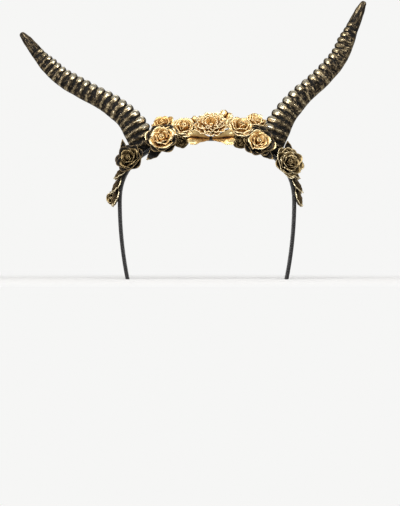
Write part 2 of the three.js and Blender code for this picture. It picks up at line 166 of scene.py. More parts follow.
# The flowers: place across the crown and along the band's depth, degrees that the flower nods forward, stem,
# radius, radius of a cup of darker petals or 0, kind and paint.
FLOWERS = {
    "rose_left_front": (-39, -10, 64, 2, 10.8, 14.4, "core", "gold"),
    "rose_right_front": (45, -10, 66, 2, 10, 13.8, "core", "gold"),
    "bloom_centre": (3.5, -6, 48, 9.5, 14.8, 0, "bloom", "gold"),
    "rose_left_inner": (-19.5, -2, 50, 9, 11, 0, "rose", "gold"),
    "rose_right_inner": (27.5, -2.5, 40, 9, 12.2, 0, "rose", "gold"),
    "rose_left_side": (-67, -9, 58, 2, 9, 12.8, "core", "antique"),
    "rose_right_side": (70.2, -9, 55, 2, 9.4, 14, "core", "antique"),
    "rose_left_back": (-35.5, 6, 36, 14, 10.4, 8.4, "core", "gold"),
    "rose_right_back": (38, 9, 30, 18, 9.6, 7.8, "core", "gold"),
    "bud_left": (-23, -10, 110, 4, 7, 0, "rose", "antique"),
    "bud_right": (30, -10, 100, 4, 7.2, 0, "rose", "antique"),
    "bud_low": (-79.97, 2, 40, 3, 6, 0, "bud", "antique"),
}

# Leaves: foot of the stalk, bearing of the tip from +X as seen from the front, lean forward in degrees,
# length and width.
FAN_LEAVES = {
    "leaf_centre_low_left": ((2, -12.4, 126), 177, 8, 19.5, 16.5),
    "leaf_centre_low_right": ((5, -12.4, 126), 3, 8, 20, 16.5),
    "leaf_centre_top_left": ((-2, 2, 128.5), 125, -8, 20, 12),
    "leaf_centre_top_right": ((7, 2, 128.5), 61, -8, 24.5, 15),
}
POINTED_LEAVES = {
    "leaf_left_front": ((-40, -12.4, 120), 224, 6, 20, 10),
    "leaf_right_front": ((45, -12.4, 119), 320, 6, 19, 9),
    "leaf_left_horn": ((-73.5, -1, 99), 95, 0, 27, 9),
    "leaf_right_horn": ((75, 0, 98.5), 96, 0, 26, 12),
    "leaf_left_inner": ((-3, 6, 130), 184, 0, 30, 15),
    "leaf_right_inner": ((10, 6, 130), 355, 0, 30, 15),
}
# Leaves over the front and back edges of the band on each side: length and width, how far out of the band and
# from its middle they start, and their turn towards the edge, swing from straight along the band and rise in
# degrees.
SIDE_LEAF_SIZE, SIDE_LEAF_LIFT, SIDE_LEAF_APART = (18, 10), 0.1, 10.2
SIDE_LEAF_TURN, SIDE_LEAF_SWING, SIDE_LEAF_RISE = 36, 8, 2
SIDE_LEAF_HEIGHTS = (102, 92, 82)
LEAF_WALL = 1.0
LEAF_CREASE, FAN_CREASE = 13, 20  # degrees that each half of a leaf is folded up
LEAF_ASPECT = 1.9  # the usual length of a leaf over its width
# Leaves from stalk to tip: share of the length, width as a share of the widest, and how far it curls up.
POINTED_LEAF = ((0, 0.16, 0), (0.28, 0.86, 0.02), (0.55, 1, 0.06), (0.82, 0.56, 0.14), (1, 0.08, 0.24))
FAN_LEAF = ((0, 0.25, 0), (0.35, 0.5, 0.03), (0.7, 0.9, 0.06), (0.9, 1, 0.06), (1, 0.86, 0.03))


def eased(rows, column, share):
    """The value of a column at a share of the way through a table of sections, eased between its rows."""
    after = next(i for i, row in enumerate(rows) if row[0] >= share and i > 0)
    start, end = rows[after - 1], rows[after]
    part = min(max((share - start[0]) / (end[0] - start[0]), 0), 1)
    return start[column] + (end[column] - start[column]) * part * part * (3 - 2 * part)


def smooth(start, end, value):
    """0 before the start, 1 after the end, and eased between them."""
    part = min(max((value - start) / (end - start), 0), 1)
    return part * part * (3 - 2 * part)


def crown_at(x):
    """A point of the band's outer face on the crown, and the way out of it."""
    across = abs(x) / BAND_HALF_WIDTH
    rise = (1 - across**SQUARENESS) ** (1 / SQUARENESS)
    slope_x = math.copysign(across ** (SQUARENESS - 1), x) / BAND_HALF_WIDTH
    slope_z = rise ** (SQUARENESS - 1) / CROWN_RISE
    return Vector((x, 0, EQUATOR + CROWN_RISE * rise)) * MM, Vector((slope_x, 0, slope_z)).normalized()


def side_at(side, z):
    """A point of the band's outer face at a height on one side, and the way out of it."""
    if z > EQUATOR:
        rise = (z - EQUATOR) / CROWN_RISE
        return crown_at(side * BAND_HALF_WIDTH * (1 - rise**SQUARENESS) ** (1 / SQUARENESS))
    drop = (EQUATOR - z) / EQUATOR
    point = Vector((side * (BAND_HALF_WIDTH - END_INSET * drop**2), 0, z)) * MM
    return point, Vector((side, 0, -2 * END_INSET * drop / EQUATOR)).normalized()


# Modelling by hand.
def put_down():
    if bpy.context.object and bpy.context.object.mode == "EDIT":
        bpy.ops.object.mode_set(mode="OBJECT")
    bpy.ops.object.select_all(action="DESELECT")


def take_up(piece):
    put_down()
    piece.select_set(True)
    bpy.context.view_layer.objects.active = piece


def begin(primitive, name, **sizes):
    """Adds a primitive that is alone in the selection, in edit mode."""
    put_down()
    primitive(**sizes)
    piece = bpy.context.object
    piece.name = name
    bpy.ops.object.transform_apply(location=True, rotation=True, scale=True)
    bpy.ops.object.mode_set(mode="EDIT")
    bpy.ops.mesh.select_all(action="SELECT")
    return piece


def pick(piece, wanted):
    """Selects the vertices at the places that wanted is true for, with the edges and faces between them."""
    bpy.ops.mesh.select_all(action="DESELECT")
    shape = bmesh.from_edit_mesh(piece.data)
    for vert in shape.verts:
        vert.select = bool(wanted(vert.co))
    shape.select_flush(True)
    bmesh.update_edit_mesh(piece.data)


def extrude(step):
    bpy.ops.mesh.extrude_region_move(TRANSFORM_OT_translate={"value": step})


def pull(step, reach):
    """Moves what is selected, and what lies within reach of it by less and less."""
    bpy.ops.transform.translate(
        value=step, use_proportional_edit=True, proportional_edit_falloff="SMOOTH", proportional_size=reach
    )


def finish_with(piece, kind, **settings):
    take_up(piece)
    modifier = piece.modifiers.new(kind.lower(), kind)
    for key, value in settings.items():
        setattr(modifier, key, value)
    bpy.ops.object.modifier_apply(modifier=modifier.name)


def subdivide_smoothly(piece, levels=1):
    finish_with(piece, "SUBSURF", levels=levels, render_levels=levels)
    bpy.ops.object.shade_smooth()


def roughen(piece, size, strength, depth=1):
    """Uneven by hand: moves the surface in and out by noise of a size, in millimetres."""
    grain = bpy.data.textures.new("unevenness", "CLOUDS")
    grain.noise_scale, grain.noise_depth = size * MM, depth
    settings = {"texture_coords": "LOCAL", "strength": strength * MM, "mid_level": 0.5}
    finish_with(piece, "DISPLACE", texture=grain, **settings)
    bpy.data.textures.remove(grain)


def bend(piece, points):
    """Bends a piece that stands straight up along points, with its +Y side as the curve's upper side."""
    line = bpy.data.curves.new("bend", "CURVE")
    line.dimensions, line.twist_mode = "3D", "MINIMUM"
    spline = line.splines.new("POLY")
    spline.points.add(len(points) - 1)
    for knot, point in zip(spline.points, points):
        knot.co = (*point, 1)
    guide = bpy.data.objects.new("bend", line)
    bpy.context.scene.collection.objects.link(guide)
    finish_with(piece, "CURVE", object=guide, deform_axis="POS_Z")
    bpy.data.objects.remove(guide)


def copy_of(pattern):
    piece = pattern.copy()
    piece.data = pattern.data.copy()
    bpy.context.scene.collection.objects.link(piece)
    return piece


def join(pieces):
    """Joins pieces into the first one."""
    take_up(pieces[0])
    for piece in pieces:
        piece.select_set(True)
    bpy.ops.object.join()
    return pieces[0]


def note(piece, name, values):
    """Writes a number, or a place, for each vertex, for the paint to read."""
    kind, key = ("FLOAT", "value") if isinstance(values[0], float) else ("FLOAT_VECTOR", "vector")
    layer = piece.data.attributes.new(name, kind, "POINT")
    for item, value in zip(layer.data, values):
        setattr(item, key, value)


def settle(piece, name, paint, slot, *nodes):
    """Puts a finished piece where the frame has its CAD nodes, painted, in their stead."""
    take_up(piece)
    piece.name = piece.data.name = name
    piece.matrix_world = Matrix.Translation(MIDDLE) @ piece.matrix_world
    bpy.ops.object.transform_apply(location=True, rotation=True, scale=True)
    piece.data.materials.clear()
    piece.data.materials.append(paint)
    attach(piece, "root")
    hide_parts(*nodes)


# Paints and cloth.
def linear(code):
    """An sRGB hex colour as the linear colour that a shader takes."""
    parts = [int(code[i : i + 2], 16) / 255 for i in (1, 3, 5)]
    return (*[c / 12.92 if c <= 0.04045 else ((c + 0.055) / 1.055) ** 2.4 for c in parts], 1)


def add(tree, kind, settings=None, inputs=None):
    """Adds a node with its settings, and its inputs set or linked. Stops are a colour ramp's."""
    made = tree.nodes.new(kind)
    for key, value in (settings or {}).items():
        if key == "stops":
            ramp = made.color_ramp.elements
            while len(ramp) < len(value):
                ramp.new(1)
            for stop, (place, colour) in zip(ramp, value):
                stop.position, stop.color = place, linear(colour)
        else:
            setattr(made, key, value)
    for key, value in (inputs or {}).items():
        if isinstance(value, bpy.types.NodeSocket):
            tree.links.new(value, made.inputs[key])
        else:
            made.inputs[key].default_value = value
    return made


def new_paint(name):
    paint = bpy.data.materials.new(name)
    paint.use_nodes = True
    tree = paint.node_tree
    tree.nodes.clear()
    return paint, tree


def per_mm(size):
    """The scale of a pattern whose repeat is a size in millimetres."""
    return 1 / (size * MM)


def spread(tree, value, start, end):
    """A value spread from one range to another."""
    inputs = {"Value": value, "From Min": start[0], "From Max": start[1], "To Min": end[0], "To Max": end[1]}
    return add(tree, "ShaderNodeMapRange", inputs=inputs).outputs[0]


def petal_paint(name, lip_stops, metal, rough, seed):
    """Paint on stiff petals, darker towards each petal's foot and paler at its lips: the dark at the foot is
    painted shade in the folds, and the pale lips are partly rubbed paint and partly a painted highlight. Both
    come from how far a point is from the petal's foot."""
    paint, tree = new_paint(name)
    lip = add(tree, "ShaderNodeAttribute", {"attribute_name": "lip"})
    place = add(tree, "ShaderNodeTexCoord")
    shift = add(
        tree, "ShaderNodeMapping", inputs={"Vector": place.outputs["Object"], "Location": (seed, 0, 0)}
    )
    # Brush marks about 3 mm across, and the petal's fine crinkle, drawn at 1 mm so that it shows.
    brush = add(
        tree,
        "ShaderNodeTexNoise",
        inputs={"Vector": shift.outputs[0], "Scale": per_mm(3), "Detail": 3.0, "Roughness": 0.6},
    )
    crinkle = add(
        tree, "ShaderNodeTexNoise", inputs={"Vector": shift.outputs[0], "Scale": per_mm(1), "Detail": 2.0}
    )
    # The lip value gives painted shade at each petal's foot and a partly painted highlight at its lip, broken
    # by brush marks.
    broken = add(
        tree,
        "ShaderNodeMath",
        {"operation": "MULTIPLY_ADD"},
        {0: brush.outputs[0], 1: 0.5, 2: lip.outputs["Fac"]},
    )
    wear_and_painted_light = add(tree, "ShaderNodeMath", {"operation": "SUBTRACT"}, {0: broken.outputs[0], 1: 0.25})
    colour = add(tree, "ShaderNodeValToRGB", {"stops": lip_stops}, {"Fac": wear_and_painted_light.outputs[0]})
    bump = add(
        tree,
        "ShaderNodeBump",
        inputs={"Height": crinkle.outputs[0], "Strength": 0.35, "Distance": 0.3 * MM},
    )
    shader = add(
        tree,
        "ShaderNodeBsdfPrincipled",
        inputs={
            "Base Color": colour.outputs[0],
            "Metallic": spread(tree, wear_and_painted_light.outputs[0], (0.1, 0.6), metal),
            "Roughness": spread(tree, wear_and_painted_light.outputs[0], (0.0, 1.0), rough),
            "Specular IOR Level": 0.3,
            "Normal": bump.outputs[0],
        },
    )
    add(tree, "ShaderNodeOutputMaterial", inputs={"Surface": shader.outputs[0]})
    return paint


# Gold metallic acrylic on stiff fabric petals: satin and warm. The deep brown at the petals' feet is painted
# shade in the folds, and the pale lips are partly rubbed paint and partly a painted highlight.
gold = petal_paint(
    "gold_acrylic_on_petals",
    ((0.0, "#2a1303"), (0.22, "#7c4a16"), (0.5, "#cc9c56"), (0.8, "#ebcd90"), (1.0, "#fae8bf")),
    (0.35, 0.6),
    (0.45, 0.32),
    0.0,
)
# The same gold brushed thinly over black: most of the petal is dark bronze, the lips alone are gold. The feet
# are darker still, as painted shade in the folds.
antique = petal_paint(
    "antique_bronze_on_petals",
    ((0.0, "#100c07"), (0.35, "#2b2113"), (0.6, "#5e4d31"), (0.85, "#a28d64"), (1.0, "#e2d4b0")),
    (0.2, 0.8),
    (0.55, 0.35),
    0.3,
)
# Black fabric petals, matt, with the thread edge rubbed grey and gold.
black = petal_paint(
    "black_petal_cloth",
    ((0.0, "#070605"), (0.55, "#12100d"), (0.8, "#29221a"), (0.92, "#5a4a32"), (1.0, "#a48c5e")),
    (0.0, 0.3),
    (0.75, 0.5),
    0.6,
)


def horn_paint():
    """Cast resin painted dark brown and dry-brushed with gold, which takes on the ribs and not in grooves."""
    paint, tree = new_paint("dry_brushed_resin")
    # The gold amount read here is brushed gold together with painted light: a painted highlight on the side
    # that faces in, painted shade near the top silhouette, and a painted reflection on the outer underside.
    brushing = add(tree, "ShaderNodeAttribute", {"attribute_name": "brushing"})
    amounts = add(tree, "ShaderNodeSeparateXYZ", inputs={0: brushing.outputs["Vector"]})
    straight = add(tree, "ShaderNodeAttribute", {"attribute_name": "straight_place"})
    # Wrinkles under 2 mm apart run across the horn and break the gold into flecks. Its grain runs lengthwise.
    wear_and_painted_light = amounts.outputs["X"]
    for amount, stretch, spacing in (("Y", (0.5, 0.5, 1.0), 1.7), ("Z", (1.0, 1.0, 0.08), 1.1)):
        run = add(
            tree, "ShaderNodeMapping", inputs={"Vector": straight.outputs["Vector"], "Scale": stretch}
        )
        marks = add(
            tree,
            "ShaderNodeTexNoise",
            inputs={
                "Vector": run.outputs[0],
                "Scale": per_mm(spacing),
                "Detail": 4.0,
                "Roughness": 0.65,
                "Distortion": 0.6,
            },
        )
        strong = spread(tree, marks.outputs[0], (0.32, 0.68), (-0.5, 0.5))
        wear_and_painted_light = add(
            tree,
            "ShaderNodeMath",
            {"operation": "MULTIPLY_ADD"},
            {0: strong, 1: amounts.outputs[amount], 2: wear_and_painted_light},
        ).outputs[0]
    colour = add(
        tree,
        "ShaderNodeValToRGB",
        {
            "stops": (
                (0.0, "#050403"),
                (0.2, "#0d0a07"),
                (0.36, "#3a3022"),
                (0.6, "#82735a"),
                (0.86, "#c8b68e"),
                (1.0, "#f4ead0"),
            )
        },
        {"Fac": wear_and_painted_light},
    )
    bump = add(tree, "ShaderNodeBump", inputs={"Height": wear_and_painted_light, "Strength": 0.4, "Distance": 0.4 * MM})
    shader = add(
        tree,
        "ShaderNodeBsdfPrincipled",
        inputs={
            "Base Color": colour.outputs[0],
            "Metallic": spread(tree, wear_and_painted_light, (0.2, 0.6), (0.0, 0.85)),
            "Roughness": spread(tree, wear_and_painted_light, (0.1, 0.9), (0.6, 0.25)),
            "Specular IOR Level": 0.14,
            "Normal": bump.outputs[0],
        },
    )
    add(tree, "ShaderNodeOutputMaterial", inputs={"Surface": shader.outputs[0]})
    return paint


WAVES = 10 / math.pi  # waves of a wave texture in each unit of length, at a scale of 1


def ribbon_cloth():
    """Black grosgrain ribbon: fine cross ribs that catch a soft sheen."""
    cloth, tree = new_paint("black_grosgrain_ribbon")
    straight = add(tree, "ShaderNodeAttribute", {"attribute_name": "straight_place"})
    # Grosgrain has a rib each 0.8 mm; drawn at 1.6 mm so that it shows.
    ribs = add(
        tree,
        "ShaderNodeTexWave",
        {"wave_type": "BANDS", "bands_direction": "Z", "wave_profile": "SIN"},
        {
            "Vector": straight.outputs["Vector"],
            "Scale": per_mm(1.6) / WAVES,
            "Distortion": 0.4,
            "Detail": 1.0,
        },
    )
    threads = add(
        tree,
        "ShaderNodeTexNoise",
        inputs={"Vector": straight.outputs["Vector"], "Scale": per_mm(2), "Detail": 3.0},
    )
    colour = add(
        tree,
        "ShaderNodeValToRGB",
        {"stops": ((0.3, "#0b0a0b"), (0.7, "#1b191b"))},
        {"Fac": threads.outputs[0]},
    )
    bump = add(
        tree,
        "ShaderNodeBump",
        inputs={"Height": ribs.outputs["Fac"], "Strength": 0.5, "Distance": 0.3 * MM},
    )
    shader = add(
        tree,
        "ShaderNodeBsdfPrincipled",
        inputs={
            "Base Color": colour.outputs[0],
            "Roughness": 0.48,
            "Sheen Weight": 0.25,
            "Sheen Roughness": 0.4,
            "Normal": bump.outputs[0],
        },
    )
    add(tree, "ShaderNodeOutputMaterial", inputs={"Surface": shader.outputs[0]})
    return cloth


horn_finish = horn_paint()
ribbon = ribbon_cloth()
PAINTS = {"gold": gold, "antique": antique, "black": black}


# The band: a strip drawn straight up with its edges eased, then bent over the head and cut level at its ends.
def make_band():
    leg_steps, crown_steps = 10, 48
    legs = [i * EQUATOR / leg_steps for i in range(-1, leg_steps)]
    cosines = [math.cos(math.pi * (1 - i / crown_steps)) for i in range(crown_steps + 1)]
    crown = [math.copysign(abs(c) ** (2 / SQUARENESS), c) * BAND_HALF_WIDTH for c in cosines]
    left, right = [side_at(-1, z) for z in legs], [side_at(1, z) for z in legs[::-1]]
    places = left + [crown_at(x) for x in crown] + right
    points = [point - out * BAND_THICKNESS / 2 * MM for point, out in places]
    runs = [0.0]
    for start, end in zip(points, points[1:]):
        runs.append(runs[-1] + (end - start).length)

    piece = begin(bpy.ops.mesh.primitive_plane_add, "band", size=MM)
    shares = [max(point.z, 0) / (BAND_HEIGHT * MM) for point, _ in places]
    depths = [END_DEPTH + (CROWN_DEPTH - END_DEPTH) * share for share in shares]
    bpy.ops.transform.resize(value=(depths[0], BAND_THICKNESS, 1), center_override=(0, 0, 0))
    bpy.ops.mesh.bevel(offset=BAND_EDGE * MM, segments=3, affect="VERTICES")
    bpy.ops.mesh.select_all(action="SELECT")
    for i in range(1, len(runs)):
        extrude((0, 0, runs[i] - runs[i - 1]))
        bpy.ops.transform.resize(value=(depths[i] / depths[i - 1], 1, 1), center_override=(0, 0, runs[i]))
    put_down()
    note(piece, "straight_place", [vert.co.copy() for vert in piece.data.vertices])
    bend(piece, points)
    bpy.ops.object.mode_set(mode="EDIT")
    bpy.ops.mesh.select_all(action="SELECT")
    bpy.ops.mesh.bisect(plane_co=(0, 0, 0), plane_no=(0, 0, 1), clear_inner=True, use_fill=True)
    bpy.ops.mesh.select_all(action="SELECT")
    bpy.ops.mesh.normals_make_consistent(inside=False)
    take_up(piece)
    bpy.ops.object.shade_smooth_by_angle(angle=math.radians(50))
    settle(piece, "band_ribbon", ribbon, "ribbon", "band")


make_band()


# The horns: one is drawn straight up, ring by ring, with the side that carries the ribs towards +Y, and
# a copy is bent to each horn's curve.
def rib_share(ribs):
    """The share of the horn's length at a count of ribs from the first one."""
    part = ribs / RIBS
    crowded = part + RIB_CROWDING * part * (1 - part) - RIB_SPREAD * math.sin(2 * math.pi * part)
    return RIBS_FROM + (RIBS_TO - RIBS_FROM) * crowded


def horn_ring(share, inner, front):
    """Height, reach outwards, reach inwards and half depth of a ring, in millimetres."""
    half = eased(HORN_SECTIONS, WIDTH, share) / 2
    rise = RIB_RISE * half / WIDEST_HALF * (1 - RIB_FADE * smooth(RIB_FADE_FROM, RIBS_TO, share))
    return share * HORN_LENGTH["left"], half, half + inner * rise, half * HORN_DEPTH + front * rise


def make_straight_horn():
    rings = [horn_ring(0, 0, 0), horn_ring(RIBS_FROM / 2, 0, 0)]
    for rib in range(RIBS):
        rings += [horn_ring(rib_share(rib + phase), inner, front) for phase, inner, front in RIB_PROFILE]
    rings += [horn_ring(share, 0, 0) for share in TIP_SHARES]
    top, outer, inner, depth = rings[-1]
    for lift, part in TIP_ROUNDING:
        rings.append((top + lift, outer * part, inner * part, depth * part))

    height, outer, inner, depth = rings[0]
    piece = begin(
        bpy.ops.mesh.primitive_circle_add, "horn", vertices=HORN_SIDES, radius=outer * MM, fill_type="NGON"
    )
    bpy.ops.transform.resize(value=(depth / outer, 1, 1), center_override=(0, 0, 0))
    for row in rings[1:]:
        shift = (row[2] - row[1] - inner + outer) / 2
        middle = (row[2] - row[1]) / 2
        extrude((0, shift * MM, (row[0] - height) * MM))
        bpy.ops.transform.resize(
            value=(row[3] / depth, (row[1] + row[2]) / (outer + inner), 1),
            center_override=(0, middle * MM, row[0] * MM),
        )
        height, outer, inner, depth = row
    subdivide_smoothly(piece)
    roughen(piece, *HORN_UNEVEN, depth=2)
    return piece


def brushing_and_painted_light_at(place, mottle):
    """How much gold a place on the straight horn gets, as an amount, how much flecks break it,
    and how much the grain does: brushed on the tops of the ribs and broken across the front; broad on the
    side that faces in, where it is partly brushed gold and partly a painted highlight; held back near the top
    silhouette as painted shade; and lifted on the outer underside as a painted reflection. A mottled horn has
    less gold on its ribs and more flecks away from that side; the gold it lacks on its inner ribs is partly
    painted shade."""
    share = place.z / (HORN_LENGTH["left"] * MM)
    facing = Vector((place.x, place.y)).normalized().y
    # Broad gold on the side that faces in: partly brushed gold, partly a painted highlight.
    inner = smooth(0.22, 0.8, facing)
    # Painted shade: the gold is held back near the top silhouette, standing for the dark room reflected
    # there.
    rim_shade = 1 - 0.8 * smooth(0.88, 0.99, facing)
    if share > RIBS_TO:
        return Vector(((0.3 + 0.2 * inner * rim_shade) * smooth(RIBS_TO - 0.03, 0.91, share), 0.2, 0.75))
    if share < RIBS_FROM:
        return Vector((0.1, 0.6, 0.2))
    low_rib, high_rib = 0.0, float(RIBS)
    while high_rib - low_rib > 0.001:
        half = (low_rib + high_rib) / 2
        low_rib, high_rib = (half, high_rib) if rib_share(half) < share else (low_rib, half)
    off_crest = abs(low_rib % 1 - 0.5) * 2
    reach = 0.42 + 0.33 * inner
    on_rib = 1 - smooth(reach - 0.2, reach + 0.2, off_crest)
    ends = smooth(-0.02, 0.14, share) * (1 - (0.45 - 0.25 * inner) * smooth(0.74, RIBS_TO, share))
    # Less gold on the inner ribs of a mottled horn: partly worn paint, partly painted shade.
    worn_and_shaded = mottle * smooth(0.25, 0.75, share) * inner
    mottled = mottle * smooth(0.1, 0.5, share) * (1 - inner)
    gold = 0.08 + 0.2 * mottled + on_rib * (0.48 + 0.6 * inner - 0.34 * mottled - 0.36 * worn_and_shaded)
    # Painted reflection: the outer underside is lifted paler for the white floor and wall it would reflect.
    gold += 0.14 * smooth(0.5, 0.9, -facing)
    return Vector((gold * rim_shade * ends, 0.85 - 0.62 * inner + 0.3 * mottled, 0.15))


def horn_curve(key):
    side, heading = (-1, LEFT_HEADING) if key == "left" else (1, RIGHT_HEADING)
    step = HORN_LENGTH[key] / HORN_STEPS
    place = Vector((side * HORN_SEAT[0], 0, HORN_SEAT[1]))
    points = [place * MM]
    for i in range(HORN_STEPS):
        angle = math.radians(eased(HORN_SECTIONS, heading, (i + 0.5) / HORN_STEPS))
        place = place + Vector((side * math.cos(angle), 0, math.sin(angle))) * step
        place.y = eased(HORN_SECTIONS, LEAN, (i + 1) / HORN_STEPS)
        points.append(place * MM)
    angle = math.radians(HORN_SECTIONS[-1][heading])
    points.append(points[-1] + Vector((side * math.cos(angle), 0, math.sin(angle))) * HORN_SPARE * MM)
    return side, points


straight_horn = make_straight_horn()
places = [vert.co.copy() for vert in straight_horn.data.vertices]
note(straight_horn, "straight_place", places)
for key, length in HORN_LENGTH.items():
    horn = copy_of(straight_horn)
    note(horn, "brushing", [brushing_and_painted_light_at(place, HORN_MOTTLE[key]) for place in places])
    take_up(horn)
    horn.scale.z = length / HORN_LENGTH["left"]
    bpy.ops.object.transform_apply(location=False, rotation=False, scale=True)
    side, points = horn_curve(key)
    bend(horn, points)
    seat, out = crown_at(side * HORN_SEAT[0])
    bpy.ops.object.mode_set(mode="EDIT")
    bpy.ops.mesh.select_all(action="SELECT")
    bpy.ops.mesh.bisect(plane_co=seat - out * MM, plane_no=out, clear_inner=True, use_fill=True)
    put_down()
    settle(horn, f"horn_{key}_cast", horn_finish, "horn", f"horn_{key}")
bpy.data.objects.remove(straight_horn)


# Petals: a section is drawn from the foot to the lip and spun about the flower's axis, and its edges are
# pulled.
PATTERN_RADIUS = 10 * MM


def make_petal(kind):
    section = [Vector((reach, 0, height)) * PATTERN_RADIUS for reach, height in PETALS[kind]]
    span = math.radians(PETAL_SPAN[kind])
    piece = begin(bpy.ops.mesh.primitive_plane_add, f"petal_{kind}", size=MM)
    bpy.ops.mesh.merge(type="CENTER")
    bpy.ops.transform.translate(value=section[0])
    for start, end in zip(section, section[1:]):
        extrude(end - start)
    bpy.ops.mesh.select_all(action="SELECT")
    bpy.ops.mesh.spin(steps=PETAL_STEPS[kind], angle=span, center=(0, 0, 0), axis=(0, 0, 1))
    bpy.ops.mesh.select_all(action="SELECT")
    bpy.ops.transform.rotate(value=-span / 2, orient_axis="Z", center_override=(0, 0, 0))

    # A petal's lip and side edges are noted before they are pulled: 0 at the foot, 1 at the edge. The paint
    # turns low values into painted shade and high ones partly into a painted highlight.
    put_down()
    values = []
    for vert in piece.data.vertices:
        spot = Vector((math.hypot(vert.co.x, vert.co.y), 0, vert.co.z))
        along = min(range(len(section)), key=lambda i: (section[i] - spot).length) / (len(section) - 1)
        across = abs(math.atan2(vert.co.y, vert.co.x)) / (span / 2)
        values.append(max(along, across**3 * min(along * 1.8, 1.0)))
    note(piece, "lip", [float(value) for value in values])
    take_up(piece)
    bpy.ops.object.mode_set(mode="EDIT")

    in_pull, down_pull, tip_pull, lap_pull, trough = [part * PATTERN_RADIUS for part in PETAL_PULLS[kind]]
    lip, belly = 0.93 * PATTERN_RADIUS, 0.5 * PATTERN_RADIUS
    half = PATTERN_RADIUS * math.sin(span / 2)

    def angle_of(co):
        return math.atan2(co.y, co.x) / (span / 2)

    def reach_of(co):
        return math.hypot(co.x, co.y)

    for side in (-1, 1):
        if trough:
            pick(piece, lambda co: angle_of(co) * side > 0.95)
            pull((0, 0, trough), half * 0.7)
        pick(piece, lambda co: angle_of(co) * side > 0.95 and reach_of(co) > lip)
        turn = side * span / 2
        pull((-in_pull * math.cos(turn), -in_pull * math.sin(turn), -down_pull), half * 0.95)
    pick(piece, lambda co: abs(angle_of(co)) < 0.15 and co.x > lip)
    pull((tip_pull, 0, -tip_pull * 0.4), half * 0.6)
    if lap_pull:
        for side, share in ((1, 1.0), (-1, -0.6)):
            pick(piece, lambda co: angle_of(co) * side > 0.85 and reach_of(co) > belly)
            turn = side * span / 2
            step = Vector((math.cos(turn), math.sin(turn), 0)) * lap_pull * share
            pull(step, half * 0.9)
    put_down()
    return piece


def make_heart():
    """The rolled middle of a flower: a strip drawn round a spiral that closes in and rises."""
    turns, steps = 1.9, 30
    spiral = []
    for i in range(steps + 1):
        part = i / steps
        angle, reach = part * turns * 2 * math.pi, 1 - 0.88 * part
        spiral.append(Vector((math.cos(angle) * reach, math.sin(angle) * reach, 0.2 * part)) * PATTERN_RADIUS)
    piece = begin(bpy.ops.mesh.primitive_plane_add, "heart", size=MM)
    bpy.ops.mesh.merge(type="CENTER")
    bpy.ops.transform.translate(value=spiral[0])
    walls = ((0.0, 0.3), (-0.1, 0.3), (0.06, 0.14), (0.14, 0.06))
    for out, rise in walls:
        extrude((out * PATTERN_RADIUS, 0, rise * PATTERN_RADIUS))
    bpy.ops.mesh.select_all(action="SELECT")
    for start, end in zip(spiral, spiral[1:]):
        extrude(end - start)
    put_down()
    # Darker low in the roll and paler at its top: painted shade deep in the heart.
    tallest = max(vert.co.z for vert in piece.data.vertices)
    note(piece, "lip", [0.15 + 0.85 * (vert.co.z / tallest) ** 2 for vert in piece.data.vertices])
    return piece


def make_stem(radius, stem):
    """A stem from the band up to a boss under the petals."""
    piece = begin(
        bpy.ops.mesh.primitive_circle_add,
        "stem",
        vertices=STEM_SIDES,
        radius=STEM_RADIUS * MM,
        fill_type="NGON",
        location=(0, 0, -stem * MM),
    )
    height, width = -stem, STEM_RADIUS
    boss = ((-1.2, STEM_RADIUS), (-0.3, 0.2 * radius + 1), (0.05 * radius, BOSS_REACH * radius))
    for next_height, next_width in boss:
        extrude((0, 0, (next_height - height) * MM))
        bpy.ops.transform.resize(value=(next_width / width, next_width / width, 1), center_override=(0, 0, 0))
        height, width = next_height, next_width
    put_down()
    note(piece, "lip", [0.1] * len(piece.data.vertices))
    subdivide_smoothly(piece)
    return piece


petals = {kind: make_petal(kind) for kind in PETALS}
heart = make_heart()


def make_flower(kind, radius, stem, seat, seed, stray=None, fold_shade_shift=0):
    """A flower of its rows of petals, each petal a little different, thickened, on its stem, at its seat."""
    chance = random.Random(seed)
    size = radius * MM / PATTERN_RADIUS
    parts = []
    rows = FLOWER_ROWS[kind]
    if stray:
        petal, turn, reach, height = stray
        rows = (*rows, (petal, 1, turn, reach, height))
    for petal, count, turn, reach, height in rows:
        for i in range(count):
            part = copy_of(petals[petal])
            angle = math.radians(turn + 360 * i / count + chance.uniform(*TURNS))
            tilt = math.radians(chance.uniform(*TILTS))
            wide, tall = (size * share * chance.uniform(*GROWTHS) for share in (reach, height))
            part.matrix_world = (
                seat
                @ Matrix.Rotation(angle, 4, "Z")
                @ Matrix.Rotation(tilt, 4, "Y")
                @ Matrix.Diagonal((wide, wide, tall, 1))
            )
            parts.append(part)
    if kind in HEARTS:
        part = copy_of(heart)
        wide, tall = size * HEARTS[kind], size * (0.5 if kind == "bloom" else 0.95)
        lift = Matrix.Translation((0, 0, 0.02 * radius * MM))
        turn = Matrix.Rotation(chance.uniform(0, 6), 4, "Z")
        part.matrix_world = seat @ lift @ turn @ Matrix.Diagonal((wide, wide, tall, 1))
        parts.append(part)
    flower = join(parts)
    # Lowers the lip value of some flowers, which paints more shade on them.
    for lip in flower.data.attributes["lip"].data:
        lip.value -= fold_shade_shift
    take_up(flower)
    bpy.ops.object.transform_apply(location=True, rotation=True, scale=True)
    roughen(flower, *(BLOOM_UNEVEN if kind == "bloom" else PETALS_UNEVEN))
    finish_with(flower, "SOLIDIFY", thickness=PETAL_WALL * MM, offset=0)
    subdivide_smoothly(flower)
    if stem:
        root = make_stem(radius, stem)
        root.matrix_world = seat
        flower = join([flower, root])
    return flower


